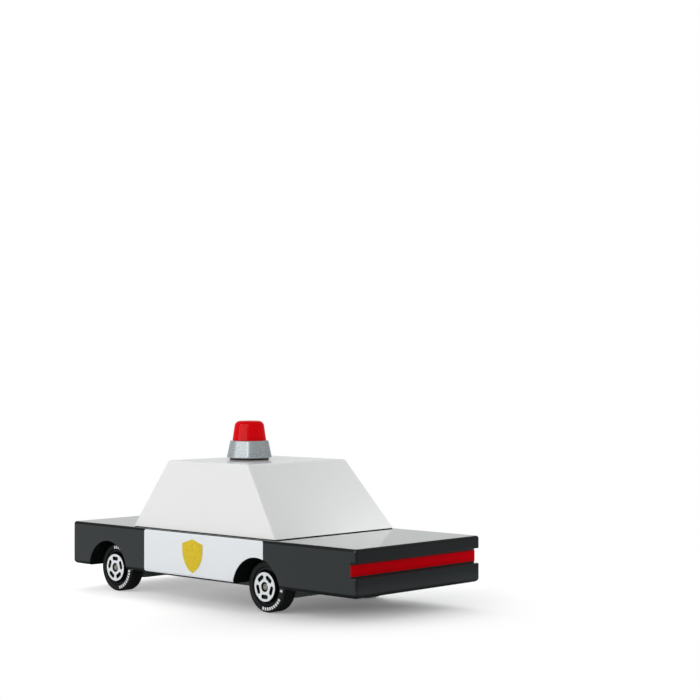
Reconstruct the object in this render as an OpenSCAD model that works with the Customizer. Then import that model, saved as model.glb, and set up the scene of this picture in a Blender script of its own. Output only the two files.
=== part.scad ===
// Toy police car: a painted wooden block car on two rolling axles, with a lift-off beacon.
// Millimetres. +X is forwards, +Y is the car's left, +Z is up.
// The origin is on the floor, under the middle of the car.

/* [Lower body] */
// Length of the wooden block, end to end
body_length = 90.5; // [80:0.5:110]
// Width of the block
body_width = 38.5; // [34:0.5:46]
// Height of the block
body_height = 9.8; // [8.5:0.1:13]
// Height of the block's underside above the floor
ground_clearance = 5.6; // [5.4:0.1:7.5]
// Rounding along the block's top and upright edges
edge_round = 0.6; // [0.4:0.1:1.2]
// Rounding along the block's bottom edges
bottom_round = 0.9; // [0.4:0.1:1.2]

/* [Cabin] */
// From the front end of the block to the foot of the windscreen
bonnet_length = 20.8; // [16:0.05:26]
// Length of the cabin at its foot
cabin_length = 46.1; // [38:0.05:50]
// Height of the cabin above the block
cabin_height = 15.1; // [11:0.1:20]
// From the block's side to the cabin's foot
cabin_inset = 0.95; // [0.2:0.05:3]
// How far the windscreen leans back over its height
windscreen_lean = 8.4; // [3:0.1:12]
// How far the rear window leans forwards over its height
rear_window_lean = 11.85; // [3:0.05:14]
// How far each side leans in over its height
side_lean = 3.2; // [1:0.1:6]
// Rounding along the roof's edges
roof_round = 0.6; // [0.3:0.1:1]
// Rounding along the cabin's foot
foot_round = 0.2; // [0.1:0.05:0.6]

/* [Axles] */
// From the front end of the block to the front axle
front_overhang = 12.85; // [10:0.05:18]
// From the front axle to the rear axle
wheelbase = 49.5; // [42:0.5:56]
// Diameter of each axle
axle_diameter = 1.5; // [1.2:0.1:2.2]
// Chamfer round each axle end
axle_chamfer = 0.15; // [0.1:0.05:0.3]
// Width of the centre mark in each axle end
centre_mark = 0.5; // [0.3:0.1:0.8]

/* [Tyres] */
// Outside diameter of the tyres
tyre_diameter = 10.8; // [9.6:0.1:12]
// Width of the tyres
tyre_width = 3.7; // [3.2:0.1:5]
// From the block's side to the tyre's outer face
tyre_inset = 2.55; // [1.5:0.05:3.5]
// Diameter of the seat inside the tyre
seat_diameter = 8.2; // [7.6:0.1:8.6]
// Rounding of the tyre's shoulders
shoulder_round = 0.5; // [0.3:0.1:0.9]
// Rounding of the tyre's inner lips
lip_round = 0.2; // [0.1:0.05:0.3]
// Width of the bead that locks the tyre on its core
bead_width = 1.2; // [0.8:0.1:1.8]
// Height of that bead
bead_height = 0.4; // [0.2:0.05:0.6]
// How much larger the front arch's radius is than the tyre's
front_arch_gap = 1.3; // [1.1:0.05:2]
// How much larger the rear arch's radius is than the tyre's
rear_arch_gap = 1.7; // [1.4:0.05:2.4]
// How far the front arch's centre lies below the axle
front_arch_drop = 0.5; // [0:0.05:0.7]
// How far the rear arch's centre lies below the axle
rear_arch_drop = 0.85; // [0:0.05:1]
// How far the front arch's centre lies ahead of the axle
front_arch_lead = 0.1; // [0:0.05:0.5]
// How far the rear arch's centre lies ahead of the axle
rear_arch_lead = 0.45; // [0:0.05:0.6]
// Gap between the tyre's inner face and the end of its pocket
pocket_gap = 0.6; // [0.4:0.1:1.2]

/* [Wheels] */
// Depth of the rim's face below the tyre's outer face
rim_recess = 0.25; // [0.1:0.05:0.5]
// Width of the rim's face
rim_width = 0.5; // [0.3:0.05:0.6]
// Depth of the well between rim and hub, below the tyre's outer face
well_depth = 1.4; // [0.8:0.1:2]
// Depth of the core's back below the tyre's inner face
back_recess = 0.4; // [0.2:0.1:1]
// Diameter of the boss on the core's back
boss_diameter = 4; // [3:0.1:5]
// Diameter of the hub cap
cap_diameter = 6.1; // [5.6:0.1:6.4]
// Thickness of the hub cap
cap_thickness = 0.5; // [0.35:0.05:0.8]
// Height of the hub cap's face above the tyre's outer face
hub_rise = 0.4; // [0.1:0.05:0.8]
// Width of the hub's rim round the cap
hub_rim = 0.1; // [0.05:0.05:0.15]
// Ring of bare core showing round the axle end
axle_ring = 0.3; // [0.15:0.05:0.5]
// Depth of the axle's end below the hub cap's face
axle_recess = 0.15; // [0.05:0.05:0.4]
// Number of slots in the hub cap
slot_count = 5; // [3:1:6]
// Length of each slot
slot_length = 1.95; // [1.2:0.05:2]
// Width of each slot
slot_width = 0.9; // [0.4:0.05:0.95]
// Rounding of each slot's corners
slot_round = 0.4; // [0.1:0.05:0.45]
// From the wheel's centre to the middle of each slot
slot_radius = 2.05; // [2:0.05:2.2]
// Angle at which the front wheels stand
front_wheel_turn = 90; // [0:1:359]
// Angle at which the rear wheels stand
rear_wheel_turn = 270; // [0:1:359]

/* [Base plate] */
// Thickness of the base plate
base_thickness = 2.6; // [2.2:0.1:3.6]
// Length of each axle carrier, fore and aft
carrier_length = 8.8; // [6:0.1:11]
// Width of the spine between the carriers
spine_width = 11.2; // [7:0.1:16]
// Rounding of the plate's corners
base_round = 0.8; // [0.4:0.1:1.5]
// From each axle to the screw beside it
screw_offset = 8; // [7:0.1:12]
// Diameter of the screws
screw_diameter = 1.6; // [1.2:0.1:2]
// Length of the screws under the head
screw_length = 5.5; // [4:0.1:7]
// Diameter of the screw heads
head_diameter = 3.2; // [2.6:0.1:4]
// Height of the screw heads
head_height = 0.9; // [0.7:0.1:1.2]
// Depth of the screw heads below the plate's face
head_recess = 0.3; // [0.1:0.1:0.6]
// Length of the cross slots in the screw heads
drive_length = 2.1; // [1.6:0.1:2.4]
// Width of the cross slots
drive_width = 0.4; // [0.3:0.05:0.6]
// Depth of the cross slots
drive_depth = 0.4; // [0.2:0.05:0.6]

/* [Tail light] */
// From the block's top down to the groove
groove_drop = 2.65; // [2:0.05:4]
// Height of the groove across the rear end
groove_height = 3.15; // [1.6:0.05:4]
// Depth of the groove
groove_depth = 1.5; // [1.2:0.05:3]
// Thickness of the red strip on the groove's floor
strip_thickness = 0.1; // [0.06:0.01:0.4]
// Bare floor of the groove above the strip
strip_top_margin = 0.55; // [0.2:0.05:0.7]
// Bare floor of the groove below the strip
strip_bottom_margin = 0.3; // [0.1:0.05:0.6]

/* [Door panels] */
// From the front end of the block to the panel
panel_setback = 25.95; // [22:0.05:30]
// Length of the panel
panel_length = 38.2; // [30:0.1:44]
// From the block's top down to the panel
panel_top_margin = 0.2; // [0.1:0.05:1]
// From the block's underside up to the panel
panel_bottom_margin = 0.35; // [0.1:0.05:1]
// Rounding of the panel's corners
panel_round = 0.5; // [0.2:0.1:1]
// Thickness of the panel's film
film_thickness = 0.1; // [0.06:0.01:0.2]

/* [Shields] */
// From the panel's front edge to the shield's middle
shield_setback = 16.25; // [10:0.05:25]
// Width of the shield
shield_width = 6.5; // [4:0.1:7.5]
// Height of the shield, point to peak
shield_height = 7.25; // [6.4:0.05:7.6]
// Height of the curved part above the point
shield_curve = 4.9; // [4:0.1:5]
// Rise of the shield's top towards its peak
shield_peak = 1; // [0.4:0.05:1.2]
// From the block's underside to the shield's point
shield_rise = 1.2; // [0.9:0.1:1.5]

/* [Beacon] */
// From the roof's front edge to the beacon's axis
beacon_setback = 10.25; // [6:0.05:19]
// Gap under the beacon, kept open by its magnet
beacon_standoff = 0.4; // [0.3:0.05:0.8]
// Diameter of the beacon's base at its foot
base_diameter = 10.2; // [9:0.1:12]
// Diameter of the beacon's base at its top
base_top_diameter = 8.6; // [8.2:0.05:9]
// Height of the beacon's base
base_height = 3.85; // [3.2:0.05:5]
// Rounding of the base's edges
base_edge_round = 0.2; // [0.1:0.05:0.3]
// Diameter of the dome at its foot
dome_diameter = 7.65; // [6.8:0.05:7.8]
// Diameter of the dome at its top, before rounding
dome_top_diameter = 6.4; // [5:0.1:6.6]
// Height of the dome
dome_height = 4.55; // [3:0.05:6]
// Rise of the dome's top towards its middle
dome_crown = 0.15; // [0.05:0.05:0.5]
// Rounding of the dome's shoulder
dome_round = 1.3; // [0.4:0.1:1.8]
// Diameter of the dome's spigot
spigot_diameter = 4; // [3:0.1:5]
// Length of the dome's spigot
spigot_length = 0.9; // [0.6:0.1:1]
// Width of the base's foot round the magnet
magnet_rim = 0.6; // [0.5:0.05:1.5]
// Height of the magnet
magnet_height = 1.2; // [0.9:0.1:1.8]
// Diameter of the steel disc in the roof
disc_diameter = 6; // [4:0.1:8]
// Thickness of the disc in the roof
disc_thickness = 1; // [0.6:0.1:2]

/* [Dowels] */
// Diameter of the dowels under the cabin
dowel_diameter = 3; // [2:0.1:4]
// Length of the dowels
dowel_length = 8; // [5:0.5:10]
// From the middle of the cabin's foot to each dowel
dowel_offset = 13; // [9:0.5:16]
// Chamfer at the dowel's ends
dowel_chamfer = 0.4; // [0.2:0.1:0.6]

/* [Fits] */
// Radial clearance of an axle running in its channel
running_clearance = 0.06; // [0.02:0.01:0.1]
// Radial clearance of pieces that are pressed or glued together
glue_clearance = 0.03; // [0.01:0.01:0.06]
// Clearance at the end of a blind hole
end_clearance = 0.3; // [0.1:0.1:0.5]
// Play between each wheel's boss and the axle carrier
side_play = 0.3; // [0.1:0.05:0.35]
// Radial clearance of a screw in the base plate
screw_clearance = 0.15; // [0.1:0.05:0.3]

/* [Hidden] */
$fn = 64;
// How far a cutter reaches past the face that it cuts
cut = 1;
// Steps in each rounding of a tyre
arc_steps = 8;
// Largest share of a slot's width that one corner's rounding takes
round_share = 0.45;

body_top = ground_clearance + body_height;
body_middle = ground_clearance + body_height / 2;
front_end = body_length / 2;
rear_end = -body_length / 2;
side = body_width / 2;

cabin_front = front_end - bonnet_length;
cabin_rear = cabin_front - cabin_length;
cabin_middle = (cabin_front + cabin_rear) / 2;
cabin_side = side - cabin_inset;
roof_front = cabin_front - windscreen_lean;
roof_rear = cabin_rear + rear_window_lean;
roof_side = cabin_side - side_lean;
roof_top = body_top + cabin_height;

axle_height = tyre_diameter / 2;
front_axle_x = front_end - front_overhang;
rear_axle_x = front_axle_x - wheelbase;
axle_places = [front_axle_x, rear_axle_x];
tyre_face = side - tyre_inset;
arch_depth = tyre_inset + tyre_width + pocket_gap;
carrier_side = side - arch_depth;
bead_start = (bead_width - tyre_width) / 2;
base_bottom = ground_clearance - base_thickness;
screw_places = [front_axle_x - screw_offset, rear_axle_x + screw_offset];
head_bottom = base_bottom + head_recess;

groove_top = body_top - groove_drop;
groove_floor = rear_end + groove_depth;
strip_height = groove_height - strip_top_margin - strip_bottom_margin;

panel_front = front_end - panel_setback;
panel_rear = panel_front - panel_length;
panel_top = body_top - panel_top_margin;
panel_bottom = ground_clearance + panel_bottom_margin;
// How deep the panel's cutter reaches, past the rounding of the block's edges
panel_reach = edge_round + bottom_round;
shield_x = panel_front - shield_setback;
shield_point = ground_clearance + shield_rise;

beacon_x = roof_front - beacon_setback;
beacon_foot = roof_top + beacon_standoff;
beacon_top = beacon_foot + base_height;
magnet_pocket = base_diameter - 2 * magnet_rim;
magnet_diameter = magnet_pocket - 2 * running_clearance;

// Unit vector along v
function unit(v) = v / norm(v);

// Half the angle at corner i of an outline
function half_angle(points, i) =
    let (n = len(points), p = points[i], before = points[(i + n - 1) % n], after = points[(i + 1) % n])
    acos(unit(before - p) * unit(after - p)) / 2;

// Where the rounding of corner i meets the side towards corner j
function round_start(points, radii, i, j) =
    points[i] + unit(points[j] - points[i]) * radii[i] / tan(half_angle(points, i));

// Centre of the rounding of corner i
function round_centre(points, radii, i) =
    let (n = len(points), p = points[i], before = points[(i + n - 1) % n], after = points[(i + 1) % n])
    p + unit(unit(before - p) + unit(after - p)) * radii[i] / sin(half_angle(points, i));

// A convex outline whose corners are rounded by true arcs, each with its own radius
module rounded_outline(points, radii) {
    n = len(points);
    polygon([
        for (i = [0 : n - 1])
            each [round_start(points, radii, i, (i + n - 1) % n), round_start(points, radii, i, (i + 1) % n)]
    ]);
    for (i = [0 : n - 1])
        if (radii[i] > 0)
            translate(round_centre(points, radii, i)) circle(radii[i]);
}

// A centred rectangle with round corners, whose lower two may have a rounding of their own
module rounded_rectangle(width, height, r, lower_r) {
    x = width / 2;
    y = height / 2;
    low = is_undef(lower_r) ? r : lower_r;
    rounded_outline([[-x, -y], [x, -y], [x, y], [-x, y]], [low, low, r, r]);
}

// The outline given in X and Z, made as wide as the Y range
module across(width) {
    rotate([90, 0, 0]) linear_extrude(width, center = true) children();
}

// The outline given in Y and Z, made as long as the X range
module along(length) {
    rotate([90, 0, 90]) linear_extrude(length, center = true) children();
}

// The wooden block with all its edges rounded, enlarged all round by a film's thickness
module block(film = 0) {
    length = body_length + 2 * film;
    width = body_width + 2 * film;
    height = body_height + 2 * film;
    r = edge_round + film;
    lower_r = bottom_round + film;
    translate([0, 0, body_middle])
        intersection() {
            linear_extrude(height, center = true) rounded_rectangle(length, width, r);
            across(width) rounded_rectangle(length, height, r, lower_r);
            along(length) rounded_rectangle(width, height, r, lower_r);
        }
}

// A pair of pockets that an axle's two wheels turn in
module arch_pair(x, gap, drop, lead) {
    for (flank = [-1, 1])
        translate([x + lead, flank * (side + cut), axle_height - drop])
            rotate([flank * 90, 0, 0]) cylinder(h = arch_depth + cut, r = tyre_diameter / 2 + gap);
}

// The pockets of all four wheels
module wheel_arches() {
    arch_pair(front_axle_x, front_arch_gap, front_arch_drop, front_arch_lead);
    arch_pair(rear_axle_x, rear_arch_gap, rear_arch_drop, rear_arch_lead);
}

// The channels in which the axles run
module axle_channels() {
    for (x = axle_places)
        translate([x, 0, axle_height])
            rotate([90, 0, 0])
                cylinder(h = body_width, d = axle_diameter + 2 * running_clearance, center = true);
}

// The two dowels, enlarged into their holes by the clearances
module dowels(radial = 0, end = 0) {
    for (x = [cabin_middle - dowel_offset, cabin_middle + dowel_offset])
        translate([x, 0, body_top])
            rotate_extrude()
                polygon([
                    [0, -dowel_length / 2 - end],
                    [dowel_diameter / 2 - dowel_chamfer + radial, -dowel_length / 2 - end],
                    [dowel_diameter / 2 + radial, -dowel_length / 2 + dowel_chamfer - end],
                    [dowel_diameter / 2 + radial, dowel_length / 2 - dowel_chamfer + end],
                    [dowel_diameter / 2 - dowel_chamfer + radial, dowel_length / 2 + end],
                    [0, dowel_length / 2 + end]
                ]);
}

module lower_body() {
    color("#1b1d1f")
        difference() {
            block();
            wheel_arches();
            axle_channels();
            dowels(glue_clearance, end_clearance);
            translate([rear_end - cut, -side - cut, groove_top - groove_height])
                cube([groove_depth + cut, body_width + 2 * cut, groove_height]);
            for (x = screw_places)
                translate([x, 0, head_bottom + head_height])
                    cylinder(h = screw_length + end_clearance, d = screw_diameter + 2 * glue_clearance);
        }
}

module cabin() {
    side_view = [
        [cabin_rear, body_top], [cabin_front, body_top], [roof_front, roof_top], [roof_rear, roof_top]
    ];
    end_view = [
        [-cabin_side, body_top], [cabin_side, body_top], [roof_side, roof_top], [-roof_side, roof_top]
    ];
    radii = [foot_round, foot_round, roof_round, roof_round];
    color("#ececec")
        difference() {
            intersection() {
                across(body_width) rounded_outline(side_view, radii);
                along(body_length) rounded_outline(end_view, radii);
            }
            dowels(glue_clearance, end_clearance);
            translate([beacon_x, 0, roof_top - disc_thickness])
                cylinder(h = disc_thickness + cut, d = disc_diameter + 2 * glue_clearance);
        }
}

module cabin_dowels() {
    color("#d9b27c") dowels();
}

module tail_light_strip() {
    color("#b8001a")
        translate([groove_floor - strip_thickness, -side, groove_top - strip_top_margin - strip_height])
            cube([strip_thickness, body_width, strip_height]);
}

// The panel on the car's left flank: a film that follows the block's side
module door_panel() {
    color("#e2e7eb")
        difference() {
            intersection() {
                block(film_thickness);
                translate([(panel_front + panel_rear) / 2, side, (panel_top + panel_bottom) / 2])
                    across(2 * panel_reach)
                        rounded_rectangle(panel_length, panel_top - panel_bottom, panel_round);
            }
            block();
            wheel_arches();
        }
}

// The shield on the car's left panel, with a peaked top and a pointed foot
module shield() {
    half = shield_width / 2;
    shoulder = shield_height - shield_peak;
    flank_radius = (shield_curve ^ 2 + half ^ 2) / shield_width;
    color("#d8b830")
        translate([shield_x, side + film_thickness, shield_point])
            rotate([90, 0, 0])
                mirror([0, 0, 1])
                    linear_extrude(film_thickness) {
                        polygon([
                            [-half, shield_curve], [half, shield_curve],
                            [half, shoulder], [0, shield_height], [-half, shoulder]
                        ]);
                        intersection() {
                            translate([half - flank_radius, shield_curve]) circle(flank_radius);
                            translate([flank_radius - half, shield_curve]) circle(flank_radius);
                            translate([-half, 0]) square([shield_width, shield_curve]);
                        }
                    }
}

module roof_disc() {
    color("#9a9da0")
        translate([beacon_x, 0, roof_top - disc_thickness])
            cylinder(h = disc_thickness, d = disc_diameter);
}

module beacon_magnet() {
    color("#2a2422")
        translate([beacon_x, 0, roof_top]) cylinder(h = magnet_height, d = magnet_diameter);
}

module beacon_base() {
    profile = [
        [0, beacon_foot], [base_diameter / 2, beacon_foot], [base_top_diameter / 2, beacon_top], [0, beacon_top]
    ];
    color("#aaafb2")
        translate([beacon_x, 0, 0])
            difference() {
                rotate_extrude() rounded_outline(profile, [0, base_edge_round, base_edge_round, 0]);
                translate([0, 0, beacon_foot - cut])
                    cylinder(h = magnet_height - beacon_standoff + cut, d = magnet_pocket);
                translate([0, 0, beacon_top - spigot_length - glue_clearance])
                    cylinder(h = spigot_length + cut, d = spigot_diameter + 2 * glue_clearance);
            }
}

module beacon_dome() {
    dome_top = beacon_top + dome_height;
    profile = [
        [0, beacon_top], [dome_diameter / 2, beacon_top],
        [dome_top_diameter / 2, dome_top - dome_crown], [0, dome_top]
    ];
    color("#d0000f")
        translate([beacon_x, 0, 0]) {
            rotate_extrude() rounded_outline(profile, [0, 0, dome_round, 0]);
            translate([0, 0, beacon_top - spigot_length])
                cylinder(h = spigot_length + dome_height / 2, d = spigot_diameter);
        }
}

module base_plate() {
    color("#6f7a76")
        difference() {
            translate([0, 0, base_bottom])
                linear_extrude(base_thickness) {
                    for (x = axle_places)
                        translate([x, 0]) rounded_rectangle(carrier_length, 2 * carrier_side, base_round);
                    translate([rear_axle_x, -spine_width / 2]) square([wheelbase, spine_width]);
                }
            axle_channels();
            for (x = axle_places)
                translate([x - axle_diameter / 2 - running_clearance, -side, axle_height])
                    cube([axle_diameter + 2 * running_clearance, body_width, base_thickness]);
            for (x = screw_places)
                translate([x, 0, base_bottom - cut]) {
                    cylinder(h = base_thickness + 2 * cut, d = screw_diameter + 2 * screw_clearance);
                    cylinder(
                        h = head_recess + head_height + cut,
                        d = head_diameter + 2 * screw_clearance
                    );
                }
        }
}

module base_screws() {
    color("#8d9194")
        for (x = screw_places)
            translate([x, 0, head_bottom])
                difference() {
                    union() {
                        cylinder(h = head_height, d = head_diameter);
                        cylinder(h = head_height + screw_length, d = screw_diameter);
                    }
                    for (turn = [0, 90])
                        rotate(turn)
                            translate([-drive_length / 2, -drive_width / 2, -cut])
                                cube([drive_length, drive_width, drive_depth + cut]);
                }
}

// An axle across the car, with a chamfer and a centre mark at each end
module axle(x) {
    r = axle_diameter / 2;
    end = tyre_face + hub_rise - axle_recess;
    color("#b4b8ba")
        translate([x, 0, axle_height])
            rotate([90, 0, 0])
                rotate_extrude()
                    polygon([
                        [0, -end + centre_mark / 2], [centre_mark / 2, -end],
                        [r - axle_chamfer, -end], [r, -end + axle_chamfer],
                        [r, end - axle_chamfer], [r - axle_chamfer, end],
                        [centre_mark / 2, end], [0, end - centre_mark / 2]
                    ]);
}

// Places a wheel piece that is drawn along Z, with its outer face at Z = 0 and its back below
module on_axle(x, flank) {
    translate([x, 0, axle_height])
        mirror([0, flank < 0 ? 1 : 0, 0])
            translate([0, tyre_face, 0]) rotate([-90, 0, 0]) children();
}

// Points along an arc, in an even number of steps
function arc(centre, r, from, to) =
    [for (i = [0 : arc_steps]) let (a = from + (to - from) * i / arc_steps) centre + r * [cos(a), sin(a)]];

module tyre(x, flank) {
    outer = tyre_diameter / 2;
    inner = seat_diameter / 2;
    groove = inner + bead_height + glue_clearance;
    groove_start = bead_start + glue_clearance;
    groove_end = bead_start - bead_width - glue_clearance;
    lip = lip_round;
    shoulder = min(shoulder_round, outer - inner - lip);
    color("#242425")
        on_axle(x, flank)
            rotate_extrude()
                polygon(concat(
                    arc([inner + lip, -lip], lip, 180, 90),
                    arc([outer - shoulder, -shoulder], shoulder, 90, 0),
                    arc([outer - shoulder, shoulder - tyre_width], shoulder, 0, -90),
                    arc([inner + lip, lip - tyre_width], lip, 270, 180),
                    [[inner, groove_end], [groove, groove_end], [groove, groove_start], [inner, groove_start]]
                ));
}

module wheel(x, flank) {
    bore = axle_diameter / 2 + glue_clearance;
    core = seat_diameter / 2 - glue_clearance;
    bead = seat_diameter / 2 + bead_height;
    rim = core - rim_width;
    boss = boss_diameter / 2;
    cap_seat = cap_diameter / 2 + glue_clearance;
    hub = cap_seat + hub_rim;
    seat_floor = hub_rise - cap_thickness;
    back = -tyre_width + back_recess;
    boss_end = -tyre_width - pocket_gap + side_play;
    color("#161617")
        on_axle(x, flank)
            rotate_extrude()
                polygon([
                    [bore, seat_floor], [cap_seat, seat_floor], [cap_seat, hub_rise], [hub, hub_rise],
                    [hub, -well_depth], [rim, -well_depth], [rim, -rim_recess], [core, -rim_recess],
                    [core, bead_start], [bead, bead_start],
                    [bead, bead_start - bead_width], [core, bead_start - bead_width],
                    [core, back], [boss, back], [boss, boss_end], [bore, boss_end]
                ]);
}

module hub_cap(x, flank, turn) {
    corner = min(slot_round, slot_width * round_share);
    color("#eef1f3")
        on_axle(x, flank)
            translate([0, 0, hub_rise - cap_thickness])
                linear_extrude(cap_thickness)
                    difference() {
                        circle(d = cap_diameter);
                        circle(d = axle_diameter + 2 * axle_ring);
                        for (i = [0 : slot_count - 1])
                            rotate(-turn + i * 360 / slot_count)
                                translate([slot_radius, 0])
                                    rounded_rectangle(slot_width, slot_length, corner);
                    }
}

lower_body();
cabin();
cabin_dowels();
tail_light_strip();
door_panel();  // left_door_panel
mirror([0, 1, 0]) door_panel();  // right_door_panel
shield();  // left_shield
mirror([0, 1, 0]) shield();  // right_shield
roof_disc();
beacon_magnet();
beacon_base();
beacon_dome();
base_plate();
base_screws();
axle(front_axle_x);  // front_axle
axle(rear_axle_x);  // rear_axle

// The four wheels: place, turn and names of the pieces at each corner
for (
    end = [["front", front_axle_x, front_wheel_turn], ["rear", rear_axle_x, rear_wheel_turn]],
    hand = [["left", 1], ["right", -1]]
) {
    corner = str(end[0], "_", hand[0]);
    tyre(end[1], hand[1]);
    wheel(end[1], hand[1]);
    hub_cap(end[1], hand[1], end[2]);
}
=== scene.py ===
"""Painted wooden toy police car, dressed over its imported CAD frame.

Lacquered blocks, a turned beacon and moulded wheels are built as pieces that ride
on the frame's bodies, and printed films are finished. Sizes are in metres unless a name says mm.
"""

import math

import bmesh
import bpy
from bpy.props import FloatProperty, FloatVectorProperty, IntProperty, PointerProperty
from mathutils import Euler, Matrix, Vector


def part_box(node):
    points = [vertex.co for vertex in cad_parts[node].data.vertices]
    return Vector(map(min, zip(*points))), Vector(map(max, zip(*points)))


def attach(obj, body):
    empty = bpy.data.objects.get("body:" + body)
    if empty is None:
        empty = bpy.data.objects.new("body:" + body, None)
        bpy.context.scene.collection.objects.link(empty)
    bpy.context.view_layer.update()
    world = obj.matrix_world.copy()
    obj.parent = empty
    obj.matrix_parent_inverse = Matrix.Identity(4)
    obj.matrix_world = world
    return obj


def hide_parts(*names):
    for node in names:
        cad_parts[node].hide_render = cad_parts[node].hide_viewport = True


bl_info = {
    "name": "Toy Police Car",
    "version": (1, 0, 0),
    "blender": (4, 5, 0),
    "location": "3D View > Sidebar > Toy Car",
    "description": "Builds the lacquer, film, rubber and metal of a wooden toy car",
    "category": "Object",
}

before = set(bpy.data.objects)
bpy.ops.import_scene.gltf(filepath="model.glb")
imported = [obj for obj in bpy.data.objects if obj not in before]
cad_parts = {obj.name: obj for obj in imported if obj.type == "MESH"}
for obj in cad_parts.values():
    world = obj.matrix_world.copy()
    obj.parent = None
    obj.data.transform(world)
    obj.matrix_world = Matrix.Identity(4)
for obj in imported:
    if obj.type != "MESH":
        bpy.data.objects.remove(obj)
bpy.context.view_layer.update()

MM = 0.001

# Steps along what is round
TURN_STEPS = 96
ROD_STEPS = 64
BORE_STEPS = 48
SHANK_STEPS = 32
ARCH_STEPS = 48
FLANK_STEPS = 8
PLATE_STEPS = 5

# Tolerances: the bend that stays sharp, the gap between pieces that touch, and what counts as none
SHARP = math.radians(34)
HOVER = 0.02 * MM
DOUBLE = 2e-7
SLIVER = 1e-7
SEAM = 1e-6
NO_ROUND = 1e-8
ON_AXIS = 1e-9

# Small fixed details
PLATE_EDGE = 0.35 * MM
BORE_GAP = 0.15 * MM
SCREW_HEAD = 0.9 * MM
SCREW_SHANK = 0.8 * MM
SCREW_LENGTH = 5.5 * MM
SCREW_SLOT = 0.4 * MM
STRIP_EDGE = 0.02 * MM
MAGNET_CHAMFER = 0.15 * MM
STEEL_CHAMFER = 0.1 * MM
DASH_CORNER = 0.08 * MM
DASH_THICKNESS = 0.05 * MM
DASH_STEP = math.radians(8.5)
DASHES, DASH_ARCS = 9, 2
FRONT_ARC_STEP, REAR_ARC_STEP = math.radians(-105), math.radians(-94)

# The photo's camera, turned by degrees, and the way to the soft-edged backdrop behind the car
LENS_MM, SENSOR_MM = 83.5, 36
CAMERA_PLACE = (-0.262515, 0.251493, 0.050040)
CAMERA_TURN = (90.801, 0, -136.691)
NEAREST = 0.01
TO_BACKDROP = (0.7277, -0.6859, 0)
SOFT_EDGE = 0.1

# Tints of light
WHITE = (1.0, 1.0, 1.0)
COOL_LAMP = (0.96, 1.0, 0.985)
COOL_FLOOR = (0.94, 1.0, 1.01)
COOL_ROOM = (0.965, 1.0, 0.98)

# The floor's half width, the middle from which it fades to white, and its mirrored shadow:
# half the car's length and width, and how far the shadow reaches beyond them
FLOOR_REACH = 8.0
FADE_MIDDLE = (0.021, -0.021, 0)
CAR_HALF = (0.045, 0.019, 0)
SHADOW_REACH = 0.03

# Each lamp: name, bearing and height in degrees, distance, size, power, tint, lights, mirrored
LAMPS = (
    ("left_softbox", 85, 28, 0.60, (0.80, 0.50), 1.9, WHITE, True, True),
    ("front_softbox", 15, 22, 0.60, (0.50, 0.50), 0.6, WHITE, True, False),
    ("top_softbox", -43, 58, 0.60, (0.50, 0.50), 1.3, WHITE, True, False),
    ("right_bounce", 222, 22, 0.12, (0.05, 0.05), 0.026, COOL_LAMP, True, False),
    ("deck_glow", 191, 22, 0.045, (0.03, 0.003), 0.002, WHITE, True, False),
    ("catch_light", 126, 25, 0.45, (0.05, 0.05), 0.07, WHITE, False, True),
)


# Colours and sizes that a user would change


def linear(hex_colour):
    """An sRGB hex colour as the linear red, green and blue that Blender shades with."""
    parts = [int(hex_colour[i : i + 2], 16) / 255 for i in (1, 3, 5)]
    return tuple(c / 12.92 if c <= 0.04045 else ((c + 0.055) / 1.055) ** 2.4 for c in parts)


def length(name, description, mm):
    """A size property whose default is written in millimetres."""
    return FloatProperty(
        name=name, description=description, default=mm * MM, unit="LENGTH", precision=5
    )


def angle(name, description, degrees):
    """An angle property whose default is written in degrees."""
    return FloatProperty(
        name=name, description=description, default=math.radians(degrees), subtype="ANGLE"
    )


def colour(name, description, hex_colour):
    """A colour property whose default is written as sRGB hex."""
    shown = {"name": name, "description": description, "default": linear(hex_colour)}
    return FloatVectorProperty(**shown, size=3, min=0.0, max=1.0, subtype="COLOR")


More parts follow.
